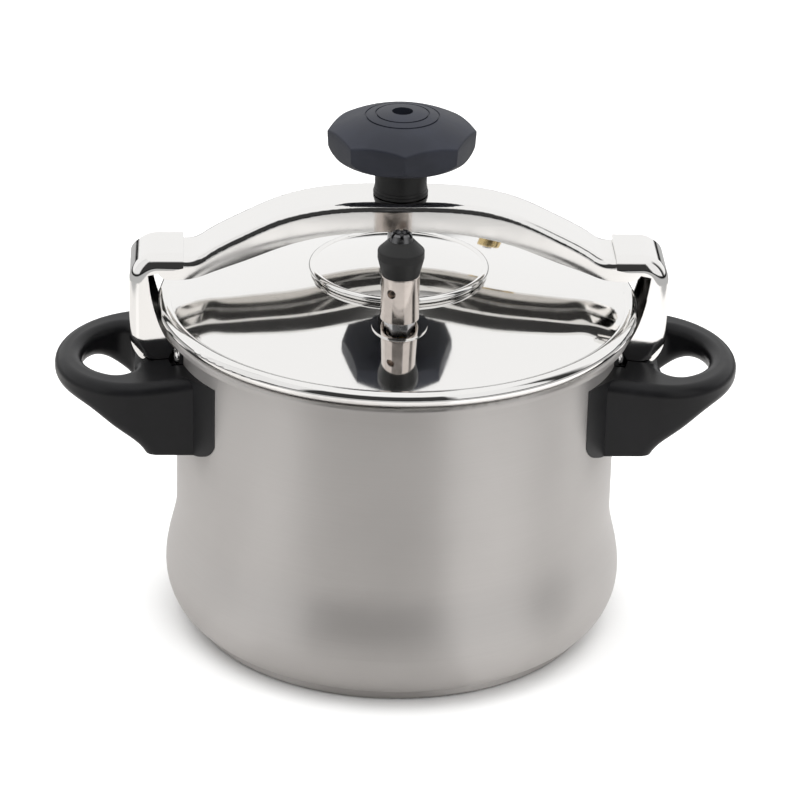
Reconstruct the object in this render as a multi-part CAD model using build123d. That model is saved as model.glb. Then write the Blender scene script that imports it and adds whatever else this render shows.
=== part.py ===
from build123d import *
import os
from math import atan2, degrees, hypot, sqrt

# Stovetop pressure cooker with a bridge closure. Millimetres, +Z up, X along the bridge and
# through both side handles. The origin is the centre of the base's underside.

# Pot
neck_radius = 110.0
belly_radius = neck_radius + 5.5
belly_z = 28.5
neck_start_z = 64.0
pot_wall = 1.2
foot_radius = neck_radius - 13.0
base_thickness = 4.0
base_sheet = 0.8
base_radius = foot_radius + 4.5
base_lip = 0.5
rim_z = 165.0
rim_bend = 3.0
lip_bend = 2.0
lip_low_z = rim_z - 3.7
flange_radius = neck_radius + 6.6

# Lid
lid_wall = 1.2
bead_radius = 3.8
bead_bore = bead_radius - 1.0
bead_ring = flange_radius - 0.9
bead_z = rim_z + 5.0
dome_edge_radius = bead_ring - 2.3
dome_edge_z = bead_z + 2.4
dome_rise = 14.4
flat_radius = 44.0
collar_radius = neck_radius - 4.0
collar_wall = 1.0
gasket_clearance = 0.1
gasket_width = bead_ring - bead_radius - collar_radius - 3 * gasket_clearance
gasket_lip = 0.1

# Bridge (yoke) that clamps the lid, and the spindle through it
yoke_half_length = neck_radius + 9.5
yoke_half_width = 16.0
yoke_sheet = 2.4
yoke_crown_z = rim_z + 63.0
yoke_end_z = rim_z + 33.4
yoke_crown_depth = 14.2
yoke_end_depth = 10.8
yoke_corner = 4.0
yoke_tip_round = 6.0
bow_top = ((0.0, 1.0), (0.298, 0.95), (0.484, 0.775), (0.659, 0.45), (0.803, 0.12), (0.885, 0.0))
bow_edge = ((0.0, 1.0), (0.298, 0.91), (0.484, 0.69), (0.638, 0.405), (0.782, 0.15), (0.93, 0.0))
spindle_radius = 6.0
bush_radius = spindle_radius + 2.0
bush_flange = bush_radius + 3.5
bush_flange_height = 2.4

# Hooks on the pot
hook_sheet = 2.0
hook_half_width = yoke_half_width + 3.0
hook_reach = neck_radius - 3.5
hook_face = yoke_half_length + 13.7
hook_bottom_z = rim_z - 27.0
hook_bottom_bend = 20.0
hood_corner = 14.0
hood_side_bend = 7.0
hood_back = 14.0
hood_clearance = 0.4
skirt_inner_z = yoke_end_z - 3.4
skirt_outer_z = yoke_end_z - 7.4
skirt_outer_reach = hook_face - 9.2
tab_width = 9.0
tab_low_z = hook_bottom_z + 5.0
tab_high_z = tab_low_z + 13.0
rivet_radius = 2.4
rivet_head = 3.6

# Handles
handle_reach = hook_face + 37.5
handle_half_width = 49.0
handle_straight = hook_face - 5.2
handle_top_z = hook_bottom_z + 12.0
handle_bottom_z = handle_top_z - 42.0
handle_tip_top_z = handle_top_z - 8.0
handle_tip_bottom_z = handle_top_z - 21.5
handle_heel = hook_face - 8.2
wing_start = neck_radius - 8.5
wing_half_width = 63.0
wing_corner = 16.0
grip_start = hook_face - 2.2
grip_end = grip_start + 26.0
grip_half_width = 30.5
grip_round = 7.0
pocket_clearance = 0.6
handle_soft = 5.5
wall_clearance = 0.1
screw_z = handle_bottom_z + 14.0
screw_radius = 3.0
screw_head = 5.5
screw_head_height = 3.4
screw_recess = 7.0
washer_height = 1.0
stud_radius = 5.5
stud_length = 10.0

# Pressure bell and knob
running = 0.05
bell_radius = flat_radius + 0.7
bell_sheet = 1.6
bell_rim = 1.8
bell_gap = 0.3
bell_rise = 4.6
ball_radius = spindle_radius + 1.0
boss_radius = ball_radius + 2.2
boss_height = 4.5
boss_gap = 0.6
cup_floor = 1.5
socket_clearance = 0.05
lock_ring_height = 1.6
knob_radius = 36.6
knob_side_draft = 0.8
knob_bowl_radius = knob_radius - 8.6
knob_low_z = yoke_crown_z + 19.4
knob_bowl_z = knob_low_z + 8.6
knob_edge_z = knob_low_z + 11.9
knob_rim_z = knob_edge_z + 1.4
knob_top_z = knob_rim_z + 10.4
knob_sides = 8
knob_hole = 5.15
knob_hole_depth = 9.0
knob_screw_head = 4.4
knob_screw_radius = 2.5
knob_screw_length = 10.0
neck_collar_radius = spindle_radius + 6.8
neck_gap = 0.4
insert_radius = spindle_radius + 3.0
insert_height = 12.0
ring_radii = (13.0, 18.0)
ring_depth = 0.5
ring_width = 0.9
knob_soft = 1.2

# Steam pipe and regulator
pipe_x = -2.0
pipe_y = -bell_radius - 14.5
pipe_radius = 4.0
pipe_bore = 1.6
pipe_top_z = rim_z + 35.4
pipe_seat = 13.6
fitting_sheet = 0.8
fitting_nut = 7.4
fitting_nut_height = 3.2
inner_nut_height = 4.0
sleeve_radius = 9.35
sleeve_wall = 1.4
sleeve_recess = 5.0
sleeve_low_z = rim_z + 22.0
sleeve_top_z = rim_z + 44.9
sleeve_hole = 2.3
sleeve_hole_z = sleeve_top_z - 7.2
cap_radius = sleeve_radius + 1.95
cap_low_z = sleeve_top_z + 8.9
cap_high_z = cap_low_z + 3.8
cap_top_z = cap_high_z + 5.2
cap_top_radius = 5.8
cap_plug = 4.0
nub_top_z = cap_top_z + 3.8
nub_radius = 5.0
nub_slots = 6
nub_slot_width = 1.6
needle_radius = 2.2

# Safety valve, behind the bridge
safety_x = 52.0
safety_y = 76.0
safety_radius = 6.0
safety_bore = 3.0
safety_height = 10.0
safety_seat = 9.0
plunger_radius = 2.6
spring_wire = 0.5
spring_turns = 3
plunger_rise = 1.6

# Length of a plain cutter, longer than anything that it cuts
through = 600.0


def lathe(face):
    """Turn a section drawn on XZ about the vertical axis."""
    return revolve(face, Axis.Z)


def ring(outer, inner, low, high, at=(0, 0)):
    """A plain ring or, with no inner radius, a disc."""
    height = high - low
    middle = Pos(at[0], at[1], (low + high) / 2)
    solid = middle * Cylinder(outer, height)
    return solid - middle * Cylinder(inner, height * 2) if inner else solid


def section(points):
    """A face on XZ from straight edges."""
    return make_face(Plane.XZ * Polyline(*points, close=True))


def slab(face, low, high):
    """A face on XZ made solid from y = low to y = high."""
    return Pos(0, high, 0) * extrude(face, amount=high - low, dir=(0, -1, 0))


def dome_z(distance):
    """Height of the lid's outside at a distance from its centre: flat, then an even slope."""
    along = min(max(distance, flat_radius), dome_edge_radius) - flat_radius
    return dome_edge_z + dome_rise * (1 - along / (dome_edge_radius - flat_radius))


def on_dome(outer, low, high, at):
    """A disc whose two faces follow the lid, low and high above its outside."""
    post = ring(outer, 0, rim_z - 30, rim_z + 60, at)
    profile = [(0, dome_z(0)), (flat_radius, dome_z(0)), (dome_edge_radius, dome_edge_z)]
    lower = [(reach, z + low) for reach, z in profile]
    upper = [(reach, z + high) for reach, z in reversed(profile)]
    return lathe(section(lower + upper)) & post


def mirrored(solid):
    """The same piece on the other side of the pot."""
    return solid.mirror(Plane.YZ)


# ---------------------------------------------------------------- pot


def pot_wall_line(inset):
    """The pot's side from the flat bottom to the rim, inset from the outside."""
    floor = base_thickness + inset
    bottom = Line((0, floor), (foot_radius, floor))
    corner = EllipticalCenterArc((foot_radius, belly_z), belly_radius - foot_radius - inset,
                                 belly_z - base_thickness - inset, start_angle=270, arc_size=90)
    flare = Spline((belly_radius - inset, belly_z), (neck_radius - inset, neck_start_z),
                   tangents=[(0, 1), (0, 1)])
    bend_z = rim_z - pot_wall - rim_bend
    neck = Line((neck_radius - inset, neck_start_z), (neck_radius - inset, bend_z))
    bend = CenterArc((neck_radius + rim_bend, bend_z), rim_bend + inset, 180, -90)
    lip_centre = (flange_radius - lip_bend, rim_z - lip_bend)
    flange = Line(bend @ 1, (lip_centre[0], (bend @ 1).Y))
    lip = CenterArc(lip_centre, lip_bend - pot_wall + inset, 90, -90)
    edge = Line(lip @ 1, ((lip @ 1).X, lip_low_z))
    return bottom, corner, flare, neck, bend, flange, lip, edge


def make_pot_shell():
    """One drawn shell: rounded foot, belly, straight neck and an out-turned sealing rim."""
    outside = pot_wall_line(0)
    inside = pot_wall_line(pot_wall)
    ends = [Line(outside[-1] @ 1, inside[-1] @ 1), Line(inside[0] @ 0, outside[0] @ 0)]
    face = make_face(Plane.XZ * Wire(list(outside) + list(inside) + ends))
    return lathe(face)


def make_base_core():
    """Aluminium disc that spreads the heat, between the shell and the steel cap."""
    return ring(foot_radius, 0, base_sheet, base_thickness)


def make_base_cap():
    """Thin steel cap pressed round the aluminium disc."""
    cap = ring(base_radius, 0, 0, base_thickness + base_lip)
    cap = fillet(cap.edges().group_by(Axis.Z)[0], 1.6)
    cap -= ring(foot_radius, 0, base_sheet, base_thickness + 2)
    side = list(pot_wall_line(0)[:3])
    top = (0, neck_start_z)
    close = [Line(side[-1] @ 1, top), Line(top, side[0] @ 0)]
    return cap - lathe(make_face(Plane.XZ * Wire(side + close)))


# ---------------------------------------------------------------- hooks


def hook_outline(inset):
    """Side view of a hook's outside, inset by a sheet or nothing."""
    face_x = hook_face - inset
    top_z = yoke_end_z + hood_clearance + hook_sheet - inset
    low_z = hook_bottom_z + inset
    reach = hook_reach - (0 if inset == 0 else 20)
    corner = hood_corner - inset
    bend = hook_bottom_bend - inset
    inner_x = neck_radius - 20
    return [
        Line((reach, top_z), (face_x - corner, top_z)),
        CenterArc((face_x - corner, top_z - corner), corner, 90, -90),
        Line((face_x, top_z - corner), (face_x, low_z + bend)),
        CenterArc((face_x - bend, low_z + bend), bend, 0, -90),
        Line((face_x - bend, low_z), (inner_x, low_z)),
        Line((inner_x, low_z), (inner_x, skirt_inner_z - 20)),
        Line((inner_x, skirt_inner_z - 20), (reach, skirt_inner_z - 20)),
        Line((reach, skirt_inner_z - 20), (reach, top_z)),
    ]


def hook_window(with_skirt):
    """Side view of what is cut from a hook's side wall, below the skirt and inside the stay."""
    lid_clear = bead_ring + bead_radius + 0.6
    hood_under = yoke_end_z + hood_clearance
    top = skirt_inner_z if with_skirt else hood_under
    outer_top = skirt_outer_z if with_skirt else hood_under - 3
    edge = [
        Line((hook_reach - 30, top), (hook_reach, top)),
        Line((hook_reach, top), (skirt_outer_reach, outer_top)),
        Spline((skirt_outer_reach, outer_top if with_skirt else skirt_outer_z), (lid_clear, bead_z),
               (neck_radius + 1.0, tab_high_z - 4.0), tangents=[(-0.1, -1), (-0.9, -1)]),
        Line((neck_radius + 1.0, tab_high_z - 4.0), (hook_reach - 30, tab_high_z - 4.0)),
        Line((hook_reach - 30, tab_high_z - 4.0), (hook_reach - 30, top)),
    ]
    if not with_skirt:
        edge.append(Line((skirt_outer_reach, outer_top), (skirt_outer_reach, skirt_outer_z)))
    return make_face(Plane.XZ * Wire(edge))


def make_hook():
    """Pressed steel hook: outer web, two stays, a hood over the bridge's end and two foot tabs."""
    wide = hook_half_width
    top_z = yoke_end_z + hood_clearance + hook_sheet
    body = slab(make_face(Plane.XZ * Wire(hook_outline(0))), -wide, wide)
    front_top = body.edges().filter_by(Axis.X).sort_by(lambda e: e.center().Z - e.center().Y)[-1]
    body = fillet(front_top, hood_side_bend)
    hollow = slab(make_face(Plane.XZ * Wire(hook_outline(hook_sheet))), -wide + hook_sheet,
                  wide - hook_sheet)
    hollow_top = hollow.edges().filter_by(Axis.X).sort_by(lambda e: e.center().Z - e.center().Y)[-1]
    hollow = fillet(hollow_top, hood_side_bend - hook_sheet)
    body -= hollow
    body -= slab(hook_window(True), -wide - 1, 0)
    body -= slab(hook_window(False), 0, wide + 1)
    cut_low = skirt_inner_z - 6
    corner = Polyline((wide + 1, cut_low), (hood_back, cut_low + 8), (hood_back, top_z + 1),
                      (wide + 1, top_z + 1), close=True)
    body -= extrude(make_face(Plane.YZ * corner), amount=hook_face + 1, dir=(1, 0, 0))
    tabs = ring(neck_radius + hook_sheet, 0, tab_low_z, tab_high_z)
    middle = (tab_low_z + tab_high_z) / 2
    height = tab_high_z - tab_low_z
    slot = Box(neck_radius * 2, 2 * (wide + tab_width), height)
    slot -= Box(neck_radius * 2, 2 * (wide - hook_sheet), height * 2)
    tabs = tabs & (Pos(neck_radius * 1.9, 0, middle) * slot)
    body = (body + tabs) - ring(neck_radius, 0, hook_bottom_z - 5, rim_z)
    for place in rivet_places():
        body -= place * Cylinder(rivet_radius, 12)
    return body.solids().sort_by(SortBy.VOLUME)[-1]


def rivet_places():
    """Axes of the two rivets of one hook, square to the pot's wall."""
    reach = hook_half_width + tab_width / 2
    angle = degrees(atan2(reach, sqrt(neck_radius ** 2 - reach ** 2)))
    middle = (tab_low_z + tab_high_z) / 2
    places = []
    for side in (-1, 1):
        turn = Rot(0, 0, side * angle)
        places.append(turn * Pos(neck_radius, 0, middle) * Rot(0, 90, 0))
    return places


def make_hook_rivets():
    """Four dome-headed rivets welded to the pot's wall."""
    rivets = []
    for place in rivet_places():
        shank = place * Pos(0, 0, hook_sheet / 2) * Cylinder(rivet_radius, hook_sheet)
        head = Sphere(rivet_head) & Pos(0, 0, rivet_head / 2) * Box(20, 20, rivet_head)
        rivet = shank + place * Pos(0, 0, hook_sheet) * scale(head, by=(1, 1, 0.5))
        rivet -= ring(neck_radius, 0, 0, rim_z)
        rivets += [rivet, mirrored(rivet)]
    return Compound(children=[solid for rivet in rivets for solid in rivet.solids()])


# ---------------------------------------------------------------- handles


def handle_plan():
    """Plan of a handle: a round-ended loop on a block whose wings follow the pot."""
    reach = handle_reach - handle_straight
    loop = EllipticalCenterArc((handle_straight, 0), reach, handle_half_width,
                               start_angle=270, arc_size=180)
    wall = sqrt(neck_radius ** 2 - wing_half_width ** 2)
    start, inner = wing_start, wall - 10
    sides = [
        Line((handle_straight, handle_half_width), (start, handle_half_width)),
        Line((start, handle_half_width), (wall, wing_half_width)),
        Line((wall, wing_half_width), (inner, wing_half_width)),
        Line((inner, wing_half_width), (inner, -wing_half_width)),
        Line((inner, -wing_half_width), (wall, -wing_half_width)),
        Line((wall, -wing_half_width), (start, -handle_half_width)),
        Line((start, -handle_half_width), (handle_straight, -handle_half_width)),
    ]
    return make_face(Wire([loop] + sides))


def handle_side():
    """Side view of a handle: deep heel at the pot, an underside that sweeps up to the grip."""
    inner = neck_radius * 0.7
    sweep = Spline((handle_heel, handle_bottom_z), (handle_heel + 15, handle_bottom_z + 13.0),
                   (handle_reach - 18, handle_tip_bottom_z), (handle_reach + 2, handle_tip_bottom_z + 2),
                   tangents=[(0.6, 1), (1, 0.15)])
    top = Spline((handle_reach + 2, handle_tip_top_z), (handle_straight, handle_top_z - 5.0),
                 (inner, handle_top_z), tangents=[(-1, 0.1), (-1, 0)])
    edges = [
        sweep,
        Line(sweep @ 1, top @ 0),
        top,
        Line((inner, handle_top_z), (inner, handle_bottom_z)),
        Line((inner, handle_bottom_z), (handle_heel, handle_bottom_z)),
    ]
    return make_face(Plane.XZ * Wire(edges))


def handle_front():
    """View along X: the wings' lower corners are rounded."""
    height = handle_top_z - handle_bottom_z + 10
    face = Rectangle(2 * wing_half_width, height, align=(Align.CENTER, Align.MIN))
    face = fillet(face.vertices().group_by(Axis.Y)[0], wing_corner)
    return Pos(0, 0, handle_bottom_z) * (Plane.YZ * face)


def grip_opening():
    """The finger opening: straight at the block, round at the grip."""
    arc = EllipticalCenterArc((grip_start, 0), grip_end - grip_start, grip_half_width,
                              start_angle=270, arc_size=180)
    face = make_face(Wire([arc, Line(arc @ 1, arc @ 0)]))
    corners = face.vertices().filter_by(lambda v: v.X < grip_start + 1)
    face = fillet(corners, grip_round)
    return Pos(0, 0, handle_bottom_z - 20) * extrude(face, amount=handle_top_z)


def make_handle():
    """Moulded side handle with a pocket for the hook's foot and a screw hole."""
    height = handle_top_z - handle_bottom_z
    body = Pos(0, 0, handle_bottom_z - 1) * extrude(handle_plan(), amount=height + 2)
    body = body & slab(handle_side(), -wing_half_width - 1, wing_half_width + 1)
    body = body & extrude(handle_front(), amount=2 * handle_reach, dir=(1, 0, 0))
    body -= grip_opening()
    soft = body.edges().filter_by(lambda e: e.center().X > handle_straight - 30)
    soft = soft.filter_by(lambda e: not near_vertical(e) and e.length > 5)
    soft = soft.filter_by(lambda e: e.center().Z > handle_bottom_z + 1)
    body = fillet(soft, handle_soft)
    gap = pocket_clearance
    pocket = Box(hook_face - neck_radius + 20 + gap, 2 * (hook_half_width + gap), 60,
                 align=(Align.MIN, Align.CENTER, Align.MIN))
    body -= Pos(neck_radius - 20, 0, hook_bottom_z - gap) * pocket
    tab = Box(2 * neck_radius, 2 * (hook_half_width + tab_width + gap), 60,
              align=(Align.MIN, Align.CENTER, Align.MIN))
    tab = Pos(0, 0, tab_low_z - gap) * tab
    body -= tab & ring(neck_radius + hook_sheet + rivet_head, 0, 0, rim_z)
    body -= ring(neck_radius + wall_clearance, 0, 0, rim_z)
    axis = Pos(neck_radius, 0, screw_z) * Rot(0, 90, 0)
    body -= axis * Pos(0, 0, stud_length / 2) * Cylinder(stud_radius + wall_clearance, stud_length)
    body -= axis * Pos(0, 0, 20) * Cylinder(screw_radius + wall_clearance, 40)
    recess = Cylinder(screw_recess, 30, align=(Align.CENTER, Align.CENTER, Align.MIN))
    body -= axis * Pos(0, 0, recess_start()) * recess
    return body.solids().sort_by(SortBy.VOLUME)[-1]


def recess_start():
    """Depth from the pot's wall to the seat of the screw's washer."""
    return grip_start - neck_radius - screw_head_height - washer_height - 1.0


def near_vertical(edge):
    """True for an edge that runs mostly up and down."""
    tangent = edge.tangent_at(0.5)
    return abs(tangent.Z) > 0.8


def make_handle_studs():
    """Threaded studs welded to the pot behind the handles."""
    axis = Pos(neck_radius, 0, screw_z) * Rot(0, 90, 0)
    stud = axis * Pos(0, 0, stud_length / 2 - 0.5) * Cylinder(stud_radius, stud_length - 1)
    stud -= axis * Pos(0, 0, stud_length) * Cylinder(screw_radius, stud_length)
    stud -= ring(neck_radius, 0, 0, rim_z)
    return Compound(children=[stud.solids()[0], mirrored(stud).solids()[0]])


def make_handle_washers():
    """Plain washers under the screw heads."""
    axis = Pos(neck_radius, 0, screw_z) * Rot(0, 90, 0)
    washer = Cylinder(screw_head + 1, washer_height) - Cylinder(screw_radius + 0.1, washer_height * 2)
    washer = axis * Pos(0, 0, recess_start() + washer_height / 2) * washer
    return Compound(children=[washer.solids()[0], mirrored(washer).solids()[0]])


def make_handle_screws():
    """Pan-head screws with a cross slot, into the studs."""
    axis = Pos(neck_radius, 0, screw_z) * Rot(0, 90, 0)
    seat = recess_start() + washer_height
    length = seat - stud_length / 2
    screw = Pos(0, 0, seat - length / 2) * Cylinder(screw_radius, length)
    head = Pos(0, 0, seat + screw_head_height / 2) * Cylinder(screw_head, screw_head_height)
    head = fillet(head.edges().filter_by(GeomType.CIRCLE).sort_by(Axis.Z)[-1], 1.4)
    for angle in (0, 90):
        head -= Pos(0, 0, seat + screw_head_height) * Rot(0, 0, angle) * Box(7, 1.4, 3)
    screw = axis * (screw + head)
    return Compound(children=[screw.solids()[0], mirrored(screw).solids()[0]])


# ---------------------------------------------------------------- lid


def lid_line(drop):
    """The lid's outside from the centre to its edge, lowered by a sheet or nothing."""
    flat_z = dome_z(flat_radius) - drop
    edge_z = dome_z(dome_edge_radius) - drop
    return [
        Line((0, flat_z), (flat_radius, flat_z)),
        Line((flat_radius, flat_z), (dome_edge_radius, edge_z)),
    ]


def make_lid_shell():
    """Sloped lid with a flat middle, a rolled bead and a collar that holds the gasket."""
    over = lid_line(0)
    under = lid_line(lid_wall)
    sides = [Line(over[-1] @ 1, under[-1] @ 1), Line(under[0] @ 0, over[0] @ 0)]
    lid = lathe(make_face(Plane.XZ * Wire(over + under + sides)))
    bead = Pos(0, 0, bead_z) * Torus(bead_ring, bead_radius)
    lid = lid + bead - Pos(0, 0, bead_z) * Torus(bead_ring, bead_bore)
    collar_low = rim_z + 1.0
    collar_top = dome_z(collar_radius) - lid_wall / 2
    lid += ring(collar_radius, collar_radius - collar_wall, collar_low, collar_top)
    lid -= Pos(pipe_x, pipe_y, bead_z) * Cylinder(pipe_radius, 60)
    lid -= Pos(safety_x, safety_y, bead_z) * Cylinder(safety_bore + 1.5, 60)
    return lid.solids().sort_by(SortBy.VOLUME)[-1]


def make_gasket():
    """Rubber ring between the collar and the bead, standing on the pot's rim."""
    inner = collar_radius + gasket_clearance
    outer = inner + gasket_width
    low = rim_z + gasket_lip
    high = dome_z(outer) - lid_wall - gasket_clearance
    face = section([(inner, low), (outer, low), (outer, high), (inner, high)])
    gasket = lathe(face)
    groove_z = (low + high) / 2
    return gasket - ring(inner + gasket_width * 0.55, inner - 1, groove_z - 0.8, groove_z + 0.8)


def make_steam_pipe():
    """Steam pipe through the lid, with a nozzle that carries the regulator."""
    at = (pipe_x, pipe_y)
    low = dome_z(hypot(pipe_x, pipe_y)) - lid_wall - inner_nut_height - 2.0
    pipe = ring(pipe_radius, pipe_bore, low, pipe_top_z, at)
    tip = pipe.edges().filter_by(GeomType.CIRCLE).group_by(Axis.Z)[-1].sort_by(SortBy.RADIUS)[-1]
    return chamfer(tip, 1.8)


def make_steam_pipe_seat():
    """Dished washer that follows the lid."""
    return on_dome(pipe_seat, 0.02, fitting_sheet, (pipe_x, pipe_y)) - pipe_post()


def pipe_post():
    """The space that the steam pipe takes."""
    return ring(pipe_radius, 0, rim_z - 20, pipe_top_z + 20, (pipe_x, pipe_y))


def hexagon_nut(across, low, high, at):
    """A six-sided nut."""
    return Pos(at[0], at[1], low) * extrude(RegularPolygon(across, 6), amount=high - low)


def make_steam_pipe_nut():
    """Nut above the lid, cut to the dished washer under it."""
    top = dome_z(hypot(pipe_x, pipe_y)) + fitting_sheet + fitting_nut_height
    nut = hexagon_nut(fitting_nut, top - fitting_nut_height - 3, top, (pipe_x, pipe_y))
    nut -= on_dome(fitting_nut + 4, -20, fitting_sheet + 0.02, (pipe_x, pipe_y))
    return (nut - pipe_post()).solids()[0]


def make_steam_pipe_locknut():
    """Nut inside the lid."""
    top = dome_z(hypot(pipe_x, pipe_y) + fitting_nut) - lid_wall
    nut = hexagon_nut(fitting_nut, top - inner_nut_height, top, (pipe_x, pipe_y))
    return nut - pipe_post() - on_dome(fitting_nut + 4, -lid_wall - 0.02, 20, (pipe_x, pipe_y))


# ---------------------------------------------------------------- regulator


def make_regulator_sleeve():
    """Polished weight sleeve with two cross holes."""
    at = (pipe_x, pipe_y)
    sleeve = ring(sleeve_radius, 0, sleeve_low_z, sleeve_top_z, at)
    sleeve -= ring(sleeve_radius - sleeve_wall, 0, sleeve_top_z - cap_plug, sleeve_top_z + 1, at)
    sleeve -= ring(pipe_radius + 0.4, 0, sleeve_low_z - 1, pipe_top_z + 0.6, at)
    sleeve -= ring(sleeve_radius - sleeve_wall, 0, sleeve_low_z - 1, sleeve_low_z + sleeve_recess, at)
    sleeve -= ring(needle_radius, 0, pipe_top_z - 5, sleeve_top_z + 1, at)
    for turn in (-30, 150):
        hole = Pos(pipe_x, pipe_y, sleeve_hole_z) * Rot(0, 0, turn) * Pos(0, -sleeve_radius, 0)
        sleeve -= hole * Rot(90, 0, 0) * Cylinder(sleeve_hole, 9)
    rims = sleeve.edges().filter_by(GeomType.CIRCLE)
    outer = rims.filter_by(lambda e: abs(e.radius - sleeve_radius) < 0.01)
    return fillet(outer, 0.5)


def make_regulator_cap():
    """Black cap: tapered skirt in the sleeve, round shoulder and a flat top."""
    plug = sleeve_radius - sleeve_wall - 0.05
    low = sleeve_top_z - cap_plug + 0.2
    neck = sleeve_radius - 0.25
    gap = 0.1
    points = [(needle_radius + 0.1, low), (plug, low), (plug, sleeve_top_z + gap),
              (neck, sleeve_top_z + gap),
              (cap_radius, cap_low_z), (cap_radius, cap_high_z), (cap_top_radius + 0.4, cap_top_z),
              (needle_radius + 0.1, cap_top_z)]
    cap = Pos(pipe_x, pipe_y, 0) * lathe(section(points))
    shoulder = cap.edges().filter_by(GeomType.CIRCLE)
    wide = shoulder.filter_by(lambda e: abs(e.radius - cap_radius) < 0.01)
    return fillet(wide, 1.2)


def make_regulator_outlet():
    """Slotted metal outlet on the cap's top."""
    points = [(needle_radius + 0.1, cap_top_z), (cap_top_radius, cap_top_z),
              (nub_radius, nub_top_z - 0.8), (nub_radius - 0.8, nub_top_z), (needle_radius + 0.1, nub_top_z)]
    outlet = lathe(section(points))
    for step in range(nub_slots):
        slot = Pos(nub_radius, 0, nub_top_z) * Box(5, nub_slot_width, 4)
        outlet -= Rot(0, 0, (step + 0.5) * 360 / nub_slots) * slot
    return Pos(pipe_x, pipe_y, 0) * outlet


def make_regulator_needle():
    """Needle that closes the pipe's nozzle and holds the weight together."""
    low = pipe_top_z + 0.3
    shank = ring(needle_radius, 0, low, nub_top_z - 0.6, (pipe_x, pipe_y))
    tip = shank.edges().filter_by(GeomType.CIRCLE).group_by(Axis.Z)[0]
    return chamfer(tip, 1.0)


# ---------------------------------------------------------------- safety valve


def safety_post(radius):
    """A tall post on the safety valve's axis."""
    return ring(radius, 0, rim_z - 20, rim_z + 60, (safety_x, safety_y))


def safety_seat_z():
    """Height of the lid's outside under the middle of the safety valve."""
    return dome_z(hypot(safety_x, safety_y))


def make_safety_body():
    """Hollow valve body through the lid, with a shoulder inside for the spring."""
    at = (safety_x, safety_y)
    seat = safety_seat_z()
    body = ring(safety_radius, 0, seat - 2.0, seat + safety_height, at)
    body -= on_dome(safety_radius + 4, -20, 0.02, at)
    body += ring(safety_bore + 1.5, 0, seat - lid_wall - 6.0, seat + 1, at)
    body -= ring(plunger_radius + running, 0, seat - 20, seat + safety_height + 5, at)
    body -= ring(safety_radius - 1.4, 0, seat + 2.0, seat + safety_height - 1.5, at)
    top = body.edges().filter_by(GeomType.CIRCLE).group_by(Axis.Z)[-1].sort_by(SortBy.RADIUS)[-1]
    return fillet(top, 0.8)


def make_safety_nut():
    """Nut that holds the safety valve inside the lid."""
    at = (safety_x, safety_y)
    top = dome_z(hypot(safety_x, safety_y) + safety_seat) - lid_wall
    nut = hexagon_nut(safety_seat, top - 3.2, top, at) - safety_post(safety_bore + 1.5)
    return nut - on_dome(safety_seat + 4, -lid_wall - 0.02, 20, at)


def make_safety_seal():
    """Rubber washer under the valve body's head."""
    at = (safety_x, safety_y)
    seal = on_dome(safety_seat, 0.02, 1.5, at)
    return seal - safety_post(safety_radius + 0.02)


def make_safety_plunger():
    """Pin that rises when the pressure is too high."""
    at = (safety_x, safety_y)
    seat = safety_seat_z()
    pin = ring(plunger_radius, 0, seat - 8.4, seat + safety_height + plunger_rise, at)
    pin = fillet(pin.edges().filter_by(GeomType.CIRCLE).group_by(Axis.Z)[-1], 0.8)
    return pin + ring(safety_radius - 2.0, 0, seat + 2.3, seat + 3.3, at)


def make_safety_spring():
    """Small compression spring above the plunger's collar."""
    seat = safety_seat_z()
    low = seat + 3.3 + spring_wire
    height = safety_height - 1.5 - 3.3 - 2 * spring_wire - 0.1
    coil = (plunger_radius + safety_radius - 1.4) / 2
    path = Helix(pitch=height / spring_turns, height=height, radius=coil)
    wire_face = Plane(origin=path @ 0, z_dir=path % 0) * Circle(spring_wire)
    return Pos(safety_x, safety_y, low) * sweep(wire_face, path=path)


# ---------------------------------------------------------------- bridge


def arch_line(crown_z, end_z, shape):
    """Half of the bridge's side view, from the crown to the tip."""
    points = []
    for share_x, share_z in shape:
        points.append((share_x * yoke_half_length, end_z + share_z * (crown_z - end_z)))
    bow = Spline(*points, tangents=[(1, 0), (1, 0)])
    return [bow, Line(bow @ 1, (yoke_half_length, end_z))]



def yoke_side(drop, sink):
    """Side view of the bridge between its top, lowered by drop, and its edge, lowered by sink."""
    top = arch_line(yoke_crown_z - drop, yoke_end_z - drop, bow_top)
    edge = arch_line(yoke_crown_z - yoke_crown_depth - sink, yoke_end_z - yoke_end_depth - sink, bow_edge)
    close = [Line(top[-1] @ 1, edge[-1] @ 1), Line(edge[0] @ 0, top[0] @ 0)]
    return make_face(Plane.XZ * Wire(top + edge + close))


def tip_corner(face):
    """The lower corner at the bridge's tip."""
    return face.vertices().group_by(Axis.X)[-1].sort_by(Axis.Z)[0]


def highest(edges):
    """The long edges along the top of the bridge, its bow and its straight tip."""
    along = edges.filter_by(lambda e: abs(e.tangent_at(0.5).X) > 0.5 and e.length > 5)
    bows = along.filter_by(lambda e: e.length > yoke_half_length * 0.6).sort_by(Axis.Z)[-2:]
    tips = along.filter_by(lambda e: e.length < yoke_half_length * 0.6).sort_by(Axis.Z)[-2:]
    return bows + tips


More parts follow.
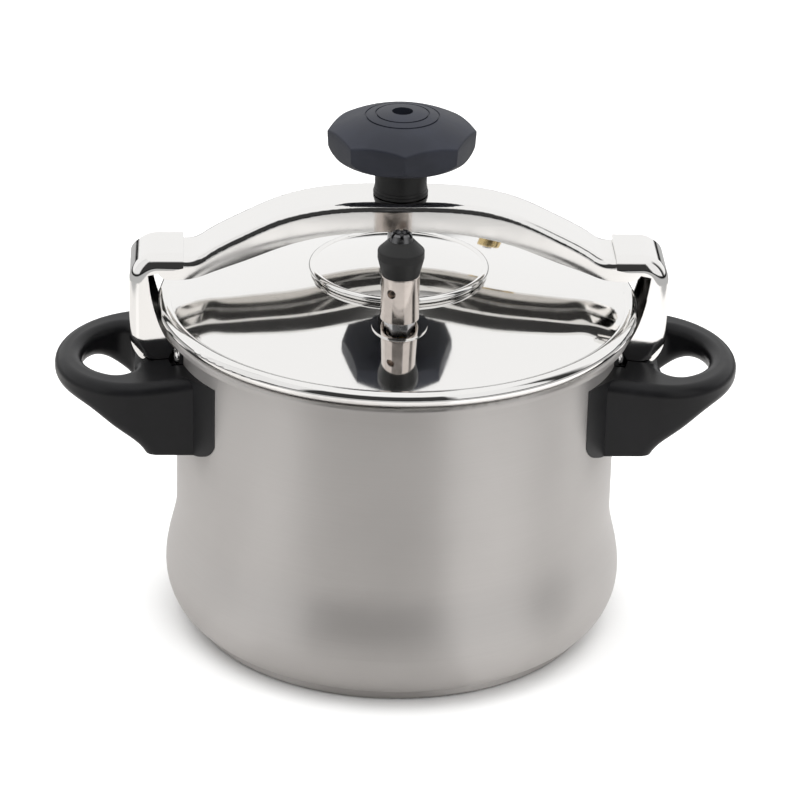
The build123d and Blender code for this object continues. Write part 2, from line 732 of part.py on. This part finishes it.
def make_yoke():
    """Pressed channel bridge: arched top, two side flanges, tips that go under the hoods."""
    side = yoke_side(0, 0)
    side = fillet(tip_corner(side), yoke_tip_round)
    half = slab(side, -yoke_half_width, yoke_half_width)
    upper = half.edges().filter_by(lambda e: abs(abs(e.center().Y) - yoke_half_width) < 0.01)
    half = fillet(highest(upper), yoke_corner)
    inner = yoke_half_width - yoke_sheet
    hollow = slab(yoke_side(yoke_sheet, 30), -inner, inner)
    hollow = fillet(highest(hollow.edges()), yoke_corner - yoke_sheet)
    half -= hollow
    whole = half + mirrored(half)
    whole -= Cylinder(bush_radius, through)
    return whole.solids().sort_by(SortBy.VOLUME)[-1]


def make_yoke_bush():
    """Threaded bush in the bridge's crown, flanged underneath."""
    crown_under = yoke_crown_z - yoke_sheet
    bush = ring(bush_radius, 0, crown_under - bush_flange_height - 9, yoke_crown_z)
    bush += ring(bush_flange, 0, crown_under - bush_flange_height - 2, crown_under - 0.35)
    return bush - Cylinder(spindle_radius + running, through)


def make_yoke_bush_ring():
    """Lock ring that holds the bush in the bridge."""
    top = yoke_crown_z - yoke_sheet - bush_flange_height - 2
    low = top - 3.0
    return ring(bush_flange - 0.5, bush_radius, low, top)


# ---------------------------------------------------------------- spindle, bell, knob


def bell_low_z():
    """Height of the bell's rim above the lid's flat middle."""
    return dome_z(0) + bell_gap


def bell_top_z():
    return bell_low_z() + 2 * bell_rim + bell_rise


def make_pressure_bell():
    """Shallow bell that spreads the spindle's thrust over the lid."""
    low = bell_low_z()
    top = bell_top_z()
    rim_z_here = low + bell_rim
    shoulder = bell_radius - bell_rim
    upper = Spline((0, top), (boss_radius + 6, top - 0.6), (shoulder, rim_z_here + bell_sheet / 2),
                   tangents=[(1, 0), (1, -0.28)])
    lower = Spline((0, top - bell_sheet), (boss_radius + 6, top - 0.6 - bell_sheet),
                   (shoulder, rim_z_here - bell_sheet / 2), tangents=[(1, 0), (1, -0.28)])
    sides = [Line(upper @ 1, lower @ 1), Line(lower @ 0, upper @ 0)]
    bell = lathe(make_face(Plane.XZ * Wire([upper, lower] + sides)))
    bell += Pos(0, 0, rim_z_here) * Torus(bell_radius - bell_rim, bell_rim)
    bell += ring(boss_radius, 0, low + boss_gap, top + boss_height)
    socket = Pos(0, 0, ball_z()) * Sphere(ball_radius + socket_clearance)
    bell -= socket
    bell -= ring(ball_radius + socket_clearance, 0, ball_z(), top + boss_height + 1)
    return bell


def ball_z():
    """Centre of the spindle's ball end."""
    return bell_low_z() + boss_gap + cup_floor + ball_radius


def make_bell_lock_ring():
    """Ring pressed in over the ball, so that the bell hangs on the spindle."""
    top = bell_top_z() + boss_height
    place = ring(ball_radius + socket_clearance, 0, top - lock_ring_height, top)
    place -= Pos(0, 0, ball_z()) * Sphere(ball_radius + socket_clearance)
    return place - Cylinder(spindle_radius + 0.4, through)


def make_spindle():
    """Spindle with a ball at its foot and a flat top inside the knob."""
    ball = Pos(0, 0, ball_z()) * Sphere(ball_radius)
    rod = ring(spindle_radius, 0, ball_z(), knob_low_z + insert_height)
    return ball + rod - ring(knob_screw_radius, 0, screw_tip_z(), knob_top_z)


def screw_tip_z():
    """Lower end of the knob's screw."""
    return knob_top_z - knob_hole_depth - knob_screw_length


def knob_bowl():
    """Turned shape that rounds the knob's lower part."""
    high = knob_top_z + 1
    wide = knob_radius + 1
    curve = EllipticalCenterArc((knob_bowl_radius, knob_bowl_z), knob_radius - knob_bowl_radius,
                                knob_bowl_z - knob_low_z, start_angle=270, arc_size=90)
    edges = [
        Line((0, knob_low_z), (knob_bowl_radius, knob_low_z)),
        curve,
        Line(curve @ 1, (wide, knob_edge_z)),
        Line((wide, knob_edge_z), (wide, high)),
        Line((wide, high), (0, high)),
        Line((0, high), (0, knob_low_z)),
    ]
    return lathe(make_face(Plane.XZ * Wire(edges)))


def knob_prism(radius, low, high, top_radius=None):
    """An eight-sided block, tapered if a second radius is given."""
    turn = 0
    lower = Pos(0, 0, low) * RegularPolygon(radius, knob_sides, rotation=turn)
    upper = Pos(0, 0, high) * RegularPolygon(top_radius or radius, knob_sides, rotation=turn)
    return loft([lower, upper])


def make_knob():
    """Eight-sided clamping knob with a domed top, ring steps and a screw hole."""
    body = knob_prism(knob_radius - knob_side_draft, knob_low_z, knob_edge_z, knob_radius)
    body += knob_prism(knob_radius, knob_edge_z, knob_top_z + 1)
    sag = knob_top_z - knob_rim_z
    dome = (knob_radius ** 2 + sag ** 2) / (2 * sag)
    body = body & Pos(0, 0, knob_top_z - dome) * Sphere(dome)
    body = body.solids().sort_by(SortBy.VOLUME)[-1]
    body = fillet(body.edges(), knob_soft)
    body = (body & knob_bowl()).solids()[0]
    for radius in ring_radii:
        height = knob_top_z - dome + sqrt(dome ** 2 - radius ** 2)
        body -= ring(radius + ring_width / 2, radius - ring_width / 2, height - ring_depth, height + 2)
    body -= ring(knob_hole, 0, knob_top_z - knob_hole_depth, knob_top_z + 1)
    body -= ring(insert_radius, 0, knob_low_z - 1, knob_low_z + insert_height)
    return body - ring(knob_screw_radius + 0.2, 0, knob_low_z, knob_top_z)


def make_knob_insert():
    """Brass insert moulded into the knob."""
    return ring(insert_radius, spindle_radius, knob_low_z + 0.5, knob_low_z + insert_height)


def make_knob_collar():
    """Stepped collar round the spindle below the knob."""
    low = yoke_crown_z + neck_gap
    radius = neck_collar_radius
    points = [(spindle_radius, low), (radius + 0.7, low), (radius + 0.7, low + 1.2),
              (radius + 0.3, low + 1.6),
              (radius + 0.3, low + 2.8), (radius, low + 3.2), (radius, knob_low_z),
              (spindle_radius, knob_low_z)]
    return lathe(section(points))


def make_knob_screw():
    """Screw that holds the knob on the spindle, deep in the top hole."""
    seat = knob_top_z - knob_hole_depth
    screw = ring(knob_screw_radius, 0, screw_tip_z(), seat)
    head = ring(knob_screw_head, 0, seat, seat + 4.0)
    head = fillet(head.edges().filter_by(GeomType.CIRCLE).group_by(Axis.Z)[-1], 0.8)
    socket = Pos(0, 0, seat + 1.8) * extrude(RegularPolygon(2.5, 6), amount=4)
    return screw + head - socket


os.makedirs("parts", exist_ok=True)
hook = make_hook()
handle = make_handle()
parts = {
    "pot_shell": make_pot_shell(),
    "base_core": make_base_core(),
    "base_cap": make_base_cap(),
    "right_hook": hook,
    "left_hook": mirrored(hook),
    "hook_rivets": make_hook_rivets(),
    "right_handle": handle,
    "left_handle": mirrored(handle),
    "handle_studs": make_handle_studs(),
    "handle_washers": make_handle_washers(),
    "handle_screws": make_handle_screws(),
    "lid_shell": make_lid_shell(),
    "gasket": make_gasket(),
    "steam_pipe": make_steam_pipe(),
    "steam_pipe_seat": make_steam_pipe_seat(),
    "steam_pipe_nut": make_steam_pipe_nut(),
    "steam_pipe_locknut": make_steam_pipe_locknut(),
    "regulator_sleeve": make_regulator_sleeve(),
    "regulator_needle": make_regulator_needle(),
    "regulator_cap": make_regulator_cap(),
    "regulator_outlet": make_regulator_outlet(),
    "safety_valve_body": make_safety_body(),
    "safety_valve_nut": make_safety_nut(),
    "safety_valve_seal": make_safety_seal(),
    "safety_plunger": make_safety_plunger(),
    "safety_spring": make_safety_spring(),
    "yoke": make_yoke(),
    "yoke_bush": make_yoke_bush(),
    "yoke_bush_ring": make_yoke_bush_ring(),
    "pressure_bell": make_pressure_bell(),
    "bell_lock_ring": make_bell_lock_ring(),
    "spindle": make_spindle(),
    "knob": make_knob(),
    "knob_insert": make_knob_insert(),
    "knob_collar": make_knob_collar(),
    "knob_screw": make_knob_screw(),
}
for name, solid in parts.items():
    export_step(solid, f"parts/{name}.step")
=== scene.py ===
from math import radians

import bmesh
import bpy
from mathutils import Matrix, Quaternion, Vector

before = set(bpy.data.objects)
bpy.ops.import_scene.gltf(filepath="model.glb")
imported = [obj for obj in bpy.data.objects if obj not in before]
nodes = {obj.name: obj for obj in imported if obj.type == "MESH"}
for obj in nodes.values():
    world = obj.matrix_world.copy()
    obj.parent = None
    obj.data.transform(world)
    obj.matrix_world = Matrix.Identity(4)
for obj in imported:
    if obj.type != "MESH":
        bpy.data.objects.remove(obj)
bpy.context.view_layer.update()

# Stage sizes in metres, and bearings in degrees about Z from the front, positive to the right
wide_floor_radius = 12.0
near_floor_radius = 0.55
wide_floor_drop = 0.0006
near_floor_drop = 0.0002
floor_segments = 96
right_panel = (24, 72)
left_panel = (-98, -46)
floor_light_right = (20, 175)
floor_light_left = (-68, -48)
camera_place = (-0.0903, -1.8128, 0.9621)
camera_direction = (0.0462, 0.9050, -0.4226)
camera_lens = 179.0
camera_roll = 1.43
lamp_aim = (0, 0, 0.1)


# ---------------------------------------------------------------- small helpers


def add(tree, kind, **settings):
    """A node of a tree, with its plain settings."""
    made = tree.nodes.new(kind)
    for name, value in settings.items():
        setattr(made, name, value)
    return made


def feed(tree, socket, value):
    """Link a socket, or set it when the value is plain."""
    if isinstance(value, bpy.types.NodeSocket):
        tree.links.new(value, socket)
    else:
        socket.default_value = value


def maths(tree, operation, first, second=0.0, third=0.0):
    """One Math node."""
    made = add(tree, "ShaderNodeMath", operation=operation)
    for socket, value in zip(made.inputs, (first, second, third)):
        feed(tree, socket, value)
    return made.outputs[0]


def rise(tree, value, low, high):
    """0 below low, 1 above high, with a smooth rise between them."""
    made = add(tree, "ShaderNodeMapRange", interpolation_type="SMOOTHSTEP")
    feed(tree, made.inputs["Value"], value)
    made.inputs["From Min"].default_value = low
    made.inputs["From Max"].default_value = high
    return made.outputs["Result"]


def spread(tree, value, low, high):
    """A value from 0 to 1 spread from low to high, where low and high may be linked."""
    made = add(tree, "ShaderNodeMapRange")
    feed(tree, made.inputs["Value"], value)
    feed(tree, made.inputs["To Min"], low)
    feed(tree, made.inputs["To Max"], high)
    return made.outputs["Result"]


def noise(tree, place, scale, detail=2.0, roughness=0.5):
    """A noise texture's value."""
    made = add(tree, "ShaderNodeTexNoise")
    feed(tree, made.inputs["Vector"], place)
    feed(tree, made.inputs["Scale"], scale)
    made.inputs["Detail"].default_value = detail
    made.inputs["Roughness"].default_value = roughness
    return made.outputs["Fac"]


def new_group(name, inputs, outputs):
    """An empty shader group with named sockets, its input node and its output node."""
    tree = bpy.data.node_groups.new(name, "ShaderNodeTree")
    for title, kind, value in inputs:
        socket = tree.interface.new_socket(title, in_out="INPUT", socket_type=kind)
        if value is not None:
            socket.default_value = value
    for title, kind in outputs:
        tree.interface.new_socket(title, in_out="OUTPUT", socket_type=kind)
    return tree, add(tree, "NodeGroupInput"), add(tree, "NodeGroupOutput")


# ---------------------------------------------------------------- shared effects


def make_turning_marks():
    """Fine rings left by polishing a spinning piece, with slow changes along each ring."""
    tree, given, made = new_group(
        "turning_marks",
        [("Place", "NodeSocketVector", None), ("Rings", "NodeSocketFloat", 900.0),
         ("Along", "NodeSocketFloat", 3.0)],
        [("Marks", "NodeSocketFloat")])
    parts = add(tree, "ShaderNodeSeparateXYZ")
    tree.links.new(given.outputs["Place"], parts.inputs[0])
    x, y, z = parts.outputs
    squares = maths(tree, "ADD", maths(tree, "MULTIPLY", x, x), maths(tree, "MULTIPLY", y, y))
    radius = maths(tree, "SQRT", squares)
    across = maths(tree, "MULTIPLY", maths(tree, "ADD", radius, z), given.outputs["Rings"])
    turn = maths(tree, "DIVIDE", given.outputs["Along"], maths(tree, "MAXIMUM", radius, 0.001))
    place = add(tree, "ShaderNodeCombineXYZ")
    feed(tree, place.inputs[0], across)
    feed(tree, place.inputs[1], maths(tree, "MULTIPLY", x, turn))
    feed(tree, place.inputs[2], maths(tree, "MULTIPLY", y, turn))
    feed(tree, made.inputs["Marks"], noise(tree, place.outputs[0], 1.0, 3.0, 0.6))
    return tree


def make_straight_marks():
    """Fine lines left by polishing along X."""
    tree, given, made = new_group(
        "straight_marks",
        [("Place", "NodeSocketVector", None), ("Lines", "NodeSocketFloat", 900.0)],
        [("Marks", "NodeSocketFloat")])
    stretch = add(tree, "ShaderNodeMapping")
    stretch.inputs["Scale"].default_value = (0.02, 1.0, 1.0)
    tree.links.new(given.outputs["Place"], stretch.inputs["Vector"])
    feed(tree, made.inputs["Marks"], noise(tree, stretch.outputs[0], given.outputs["Lines"], 3.0, 0.6))
    return tree


def make_handling():
    """Patches where hands and cloths have changed the gloss."""
    tree, given, made = new_group(
        "handling",
        [("Place", "NodeSocketVector", None), ("Scale", "NodeSocketFloat", 20.0),
         ("Low", "NodeSocketFloat", 0.1), ("High", "NodeSocketFloat", 0.2)],
        [("Roughness", "NodeSocketFloat"), ("Patch", "NodeSocketFloat")])
    broad = noise(tree, given.outputs["Place"], given.outputs["Scale"], 4.0, 0.6)
    patch = rise(tree, broad, 0.35, 0.7)
    feed(tree, made.inputs["Roughness"], spread(tree, patch, given.outputs["Low"], given.outputs["High"]))
    feed(tree, made.inputs["Patch"], patch)
    return tree


def make_pebble():
    """Fine moulded texture of plastics."""
    tree, given, made = new_group(
        "pebble",
        [("Place", "NodeSocketVector", None), ("Scale", "NodeSocketFloat", 1500.0),
         ("Wave Scale", "NodeSocketFloat", 60.0)],
        [("Height", "NodeSocketFloat")])
    fine = noise(tree, given.outputs["Place"], given.outputs["Scale"], 2.0, 0.5)
    broad = noise(tree, given.outputs["Place"], given.outputs["Wave Scale"], 2.0, 0.5)
    feed(tree, made.inputs["Height"], maths(tree, "ADD", fine, maths(tree, "MULTIPLY", broad, 3.0)))
    return tree


turning_marks = make_turning_marks()
straight_marks = make_straight_marks()
handling = make_handling()
pebble = make_pebble()


def use(tree, group, place, **values):
    """A shared effect placed in a material."""
    made = add(tree, "ShaderNodeGroup", node_tree=group)
    tree.links.new(place, made.inputs["Place"])
    for name, value in values.items():
        feed(tree, made.inputs[name.replace("_", " ").title()], value)
    return made


def finish_named(name, colour, metallic=0.0, **shader):
    """A material with its Principled shader, and the Object coordinates that its patterns read."""
    made = bpy.data.materials.new(name)
    made.use_nodes = True
    tree = made.node_tree
    bsdf = tree.nodes["Principled BSDF"]
    bsdf.inputs["Base Color"].default_value = (*colour, 1.0)
    bsdf.inputs["Metallic"].default_value = metallic
    for title, value in shader.items():
        bsdf.inputs[title.replace("_", " ")].default_value = value
    return made, tree, bsdf, add(tree, "ShaderNodeTexCoord").outputs["Object"]


def bump(tree, bsdf, height, strength, distance):
    """Feed a height to the shader's normal."""
    made = add(tree, "ShaderNodeBump")
    made.inputs["Strength"].default_value = strength
    made.inputs["Distance"].default_value = distance
    feed(tree, made.inputs["Height"], height)
    feed(tree, bsdf.inputs["Normal"], made.outputs[0])


def tinted(tree, bsdf, mask, dark, light):
    """Base colour that changes a little with a mask."""
    made = add(tree, "ShaderNodeMix", data_type="RGBA")
    feed(tree, made.inputs["Factor"], mask)
    made.inputs["A"].default_value = (*dark, 1.0)
    made.inputs["B"].default_value = (*light, 1.0)
    feed(tree, bsdf.inputs["Base Color"], made.outputs["Result"])


# ---------------------------------------------------------------- finishes


def make_satin_steel():
    """Turned satin stainless steel of the pot."""
    made, tree, bsdf, place = finish_named(
        "satin_steel", (0.6, 0.58, 0.565), 1.0, Anisotropic=0.8, Anisotropic_Rotation=0.25)
    around = add(tree, "ShaderNodeTangent", direction_type="RADIAL", axis="Z")
    tree.links.new(around.outputs[0], bsdf.inputs["Tangent"])
    marks = use(tree, turning_marks, place, rings=2400.0, along=1.2).outputs["Marks"]
    patch = use(tree, handling, place, scale=9.0, low=0.42, high=0.47)
    uneven = maths(tree, "MULTIPLY_ADD", marks, 0.05, patch.outputs["Roughness"])
    feed(tree, bsdf.inputs["Roughness"], uneven)
    tinted(tree, bsdf, marks, (0.585, 0.565, 0.55), (0.63, 0.61, 0.595))
    bump(tree, bsdf, marks, 0.06, 0.00003)
    return made


def make_mirror_steel():
    """Polished stainless steel of the lid, the bridge and the hooks."""
    made, tree, bsdf, place = finish_named("mirror_steel", (0.87, 0.86, 0.845), 1.0)
    marks = use(tree, turning_marks, place, rings=2600.0, along=0.8).outputs["Marks"]
    patch = use(tree, handling, place, scale=16.0, low=0.035, high=0.075)
    uneven = maths(tree, "MULTIPLY_ADD", marks, 0.02, patch.outputs["Roughness"])
    feed(tree, bsdf.inputs["Roughness"], uneven)
    bump(tree, bsdf, marks, 0.03, 0.00002)
    return made


def make_drawn_steel():
    """Polished steel of the bent sheet pieces, with marks along X."""
    made, tree, bsdf, place = finish_named("drawn_steel", (0.86, 0.85, 0.835), 1.0)
    marks = use(tree, straight_marks, place, lines=1600.0).outputs["Marks"]
    patch = use(tree, handling, place, scale=24.0, low=0.045, high=0.1)
    uneven = maths(tree, "MULTIPLY_ADD", marks, 0.03, patch.outputs["Roughness"])
    feed(tree, bsdf.inputs["Roughness"], uneven)
    bump(tree, bsdf, marks, 0.05, 0.00002)
    return made


def make_phenolic():
    """Black moulded resin of the side handles."""
    made, tree, bsdf, place = finish_named("phenolic", (0.012, 0.012, 0.0125), Specular_IOR_Level=0.22)
    patch = use(tree, handling, place, scale=30.0, low=0.3, high=0.42)
    feed(tree, bsdf.inputs["Roughness"], patch.outputs["Roughness"])
    tinted(tree, bsdf, patch.outputs["Patch"], (0.005, 0.005, 0.0055), (0.008, 0.008, 0.009))
    bump(tree, bsdf, use(tree, pebble, place, scale=1800.0, wave_scale=70.0).outputs[0], 0.1, 0.00012)
    return made


def make_knob_resin():
    """Blue-grey fine textured resin of the knob."""
    made, tree, bsdf, place = finish_named("knob_resin", (0.02, 0.022, 0.03), Specular_IOR_Level=0.28)
    patch = use(tree, handling, place, scale=45.0, low=0.42, high=0.52)
    feed(tree, bsdf.inputs["Roughness"], patch.outputs["Roughness"])
    tinted(tree, bsdf, patch.outputs["Patch"], (0.013, 0.0145, 0.021), (0.019, 0.021, 0.03))
    bump(tree, bsdf, use(tree, pebble, place, scale=2600.0, wave_scale=120.0).outputs[0], 0.25, 0.0001)
    return made


def make_cap_resin():
    """Matte black resin of the regulator's cap."""
    made, tree, bsdf, place = finish_named("cap_resin", (0.012, 0.012, 0.012), Specular_IOR_Level=0.3)
    patch = use(tree, handling, place, scale=90.0, low=0.4, high=0.55)
    feed(tree, bsdf.inputs["Roughness"], patch.outputs["Roughness"])
    bump(tree, bsdf, use(tree, pebble, place, scale=2600.0, wave_scale=150.0).outputs[0], 0.12, 0.0001)
    return made


def make_plated(name, colour, low, high):
    """A small plated or plain metal piece."""
    made, tree, bsdf, place = finish_named(name, colour, 1.0)
    patch = use(tree, handling, place, scale=140.0, low=low, high=high)
    feed(tree, bsdf.inputs["Roughness"], patch.outputs["Roughness"])
    tinted(tree, bsdf, patch.outputs["Patch"], tuple(0.88 * c for c in colour), colour)
    bump(tree, bsdf, use(tree, straight_marks, place, lines=2600.0).outputs[0], 0.08, 0.00003)
    return made


def make_rubber():
    """Dark grey sealing rubber."""
    made, tree, bsdf, place = finish_named("rubber", (0.05, 0.05, 0.052))
    patch = use(tree, handling, place, scale=60.0, low=0.6, high=0.75)
    feed(tree, bsdf.inputs["Roughness"], patch.outputs["Roughness"])
    bump(tree, bsdf, use(tree, pebble, place, scale=1500.0, wave_scale=90.0).outputs[0], 0.2, 0.0001)
    return made


satin = make_satin_steel()
mirror = make_mirror_steel()
drawn = make_drawn_steel()
phenolic = make_phenolic()
knob_resin = make_knob_resin()
cap_resin = make_cap_resin()
zinc = make_plated("zinc_steel", (0.62, 0.62, 0.63), 0.22, 0.4)
dark_metal = make_plated("dark_metal", (0.2, 0.2, 0.205), 0.25, 0.42)
sleeve_steel = make_plated("sleeve_steel", (0.7, 0.635, 0.59), 0.1, 0.2)
brass = make_plated("brass", (0.78, 0.6, 0.3), 0.2, 0.36)
aluminium = make_plated("core_aluminium", (0.78, 0.78, 0.79), 0.35, 0.5)
rubber = make_rubber()

finishes = {
    "pot_shell": satin, "base_cap": satin, "base_core": aluminium,
    "right_hook": drawn, "left_hook": drawn, "hook_rivets": drawn, "yoke": drawn,
    "lid_shell": mirror, "pressure_bell": mirror, "steam_pipe_seat": mirror,
    "right_handle": phenolic, "left_handle": phenolic,
    "handle_studs": zinc, "handle_washers": zinc, "handle_screws": zinc,
    "steam_pipe": brass, "steam_pipe_nut": zinc, "steam_pipe_locknut": zinc,
    "regulator_sleeve": sleeve_steel, "regulator_needle": zinc,
    "regulator_cap": cap_resin, "regulator_outlet": dark_metal,
    "safety_valve_body": brass, "safety_valve_nut": brass, "safety_valve_seal": rubber,
    "safety_plunger": zinc, "safety_spring": zinc, "gasket": rubber,
    "yoke_bush": zinc, "yoke_bush_ring": zinc, "bell_lock_ring": zinc, "spindle": zinc,
    "knob": knob_resin, "knob_collar": cap_resin, "knob_insert": brass, "knob_screw": zinc,
}
for name, finish in finishes.items():
    nodes[name].data.materials.clear()
    nodes[name].data.materials.append(finish)


# ---------------------------------------------------------------- stage, light and camera


def plane(name, size, height):
    """A flat round floor."""
    mesh = bpy.data.meshes.new(name)
    shape = bmesh.new()
    bmesh.ops.create_circle(shape, cap_ends=True, segments=floor_segments, radius=size)
    shape.to_mesh(mesh)
    shape.free()
    made = bpy.data.objects.new(name, mesh)
    made.location.z = height
    bpy.context.scene.collection.objects.link(made)
    return made


def panel(tree, bearing, low, high, soft=3.0):
    """1 between two bearings from the front, in degrees."""
    start = rise(tree, bearing, radians(low - soft), radians(low + soft))
    end = rise(tree, bearing, radians(high - soft), radians(high + soft))
    return maths(tree, "SUBTRACT", start, end)


def front_bearing(tree, x, y):
    """Angle about Z from the front, in radians."""
    return maths(tree, "ARCTAN2", x, maths(tree, "MULTIPLY", y, -1.0))


def make_near_floor_paint():
    """Paint of the floor that the steel reflects, with painted light and shade: darker overall than the
    wide floor, and a little lighter on the right and in a band on the left.
    """
    paint, tree, bsdf, place = finish_named("near_floor_paint", (0.62, 0.61, 0.6), Roughness=0.75)
    bsdf.inputs["Specular IOR Level"].default_value = 0.0
    parts = add(tree, "ShaderNodeSeparateXYZ")
    tree.links.new(place, parts.inputs[0])
    bearing = front_bearing(tree, parts.outputs[0], parts.outputs[1])
    # Painted light: the reflected floor is lighter over a sector on the right and, more weakly, in a band
    # on the left, standing in for light falling there.
    right = panel(tree, bearing, *floor_light_right, 2.0)
    left = maths(tree, "MULTIPLY", panel(tree, bearing, *floor_light_left, 4.0), 0.6)
    tinted(tree, bsdf, maths(tree, "ADD", right, left), (0.56, 0.55, 0.54), (0.69, 0.68, 0.67))
    return paint


def make_floors():
    """A wide pale floor, and the smaller pale floor that the steel reflects."""
    paint, tree, bsdf, place = finish_named("floor_paint", (0.93, 0.93, 0.925), Roughness=0.75)
    bsdf.inputs["Specular IOR Level"].default_value = 0.0
    wide = plane("floor_wide", wide_floor_radius, -wide_floor_drop)
    near = plane("floor_near", near_floor_radius, -near_floor_drop)
    wide.visible_glossy = False
    near.visible_camera = False
    near.visible_diffuse = False
    near.visible_shadow = False
    wide.data.materials.append(paint)
    near.data.materials.append(make_near_floor_paint())


def make_world():
    """White surroundings, darker low down in front, with a pale panel on each side of that."""
    world = bpy.data.worlds.new("studio")
    bpy.context.scene.world = world
    world.use_nodes = True
    tree = world.node_tree
    tree.nodes.clear()
    parts = add(tree, "ShaderNodeSeparateXYZ")
    tree.links.new(add(tree, "ShaderNodeTexCoord").outputs["Generated"], parts.inputs[0])
    x, y, z = parts.outputs
    bearing = front_bearing(tree, x, y)
    above = rise(tree, z, -0.02, 0.04)
    high_up = rise(tree, z, 0.7, 0.85)
    behind = rise(tree, y, -0.1, 0.2)
    below = maths(tree, "MULTIPLY", rise(tree, maths(tree, "MULTIPLY", z, -1.0), 0.08, 0.14), 0.5)
    right = maths(tree, "MULTIPLY", panel(tree, bearing, *right_panel), 0.95)
    left = maths(tree, "MULTIPLY", panel(tree, bearing, *left_panel), 0.9)
    sky = maths(tree, "MAXIMUM", high_up, behind)
    panels = maths(tree, "MAXIMUM", right, left)
    bright = maths(tree, "MULTIPLY_ADD", maths(tree, "MAXIMUM", sky, panels), 0.96, 0.03)
    strength = maths(tree, "ADD", maths(tree, "MULTIPLY_ADD", bright, above, 0.012), below)
    seen = add(tree, "ShaderNodeLightPath").outputs["Is Camera Ray"]
    strength = maths(tree, "MAXIMUM", strength, seen)
    back = add(tree, "ShaderNodeBackground")
    back.inputs["Color"].default_value = (1.0, 1.0, 1.0, 1.0)
    tree.links.new(strength, back.inputs["Strength"])
    tree.links.new(back.outputs[0], add(tree, "ShaderNodeOutputWorld").inputs["Surface"])


def make_lamp(name, place, size, power, seen):
    """A square area lamp that points at the pot."""
    data = bpy.data.lights.new(name, "AREA")
    data.size = size
    data.energy = power
    lamp = bpy.data.objects.new(name, data)
    lamp.location = place
    lamp.rotation_mode = "QUATERNION"
    lamp.rotation_quaternion = (Vector(lamp_aim) - Vector(place)).to_track_quat("-Z", "Y")
    lamp.visible_glossy = seen
    bpy.context.scene.collection.objects.link(lamp)


def make_camera():
    """Camera in front and above, with a slight roll."""
    aim = Vector(camera_direction).normalized()
    data = bpy.data.cameras.new("camera")
    data.lens = camera_lens
    data.clip_start = 0.1
    camera = bpy.data.objects.new("camera", data)
    camera.location = camera_place
    camera.rotation_mode = "QUATERNION"
    roll = Quaternion(Vector((0, 0, 1)), radians(camera_roll))
    camera.rotation_quaternion = aim.to_track_quat("-Z", "Y") @ roll
    bpy.context.scene.collection.objects.link(camera)
    bpy.context.scene.camera = camera


bpy.context.scene.view_settings.view_transform = "Standard"
make_floors()
make_world()
make_lamp("top_light", (0.0, 0.2, 2.2), 3.0, 62.0, False)
make_lamp("front_light", (0.2, -1.9, 1.5), 1.6, 22.0, False)
make_camera()
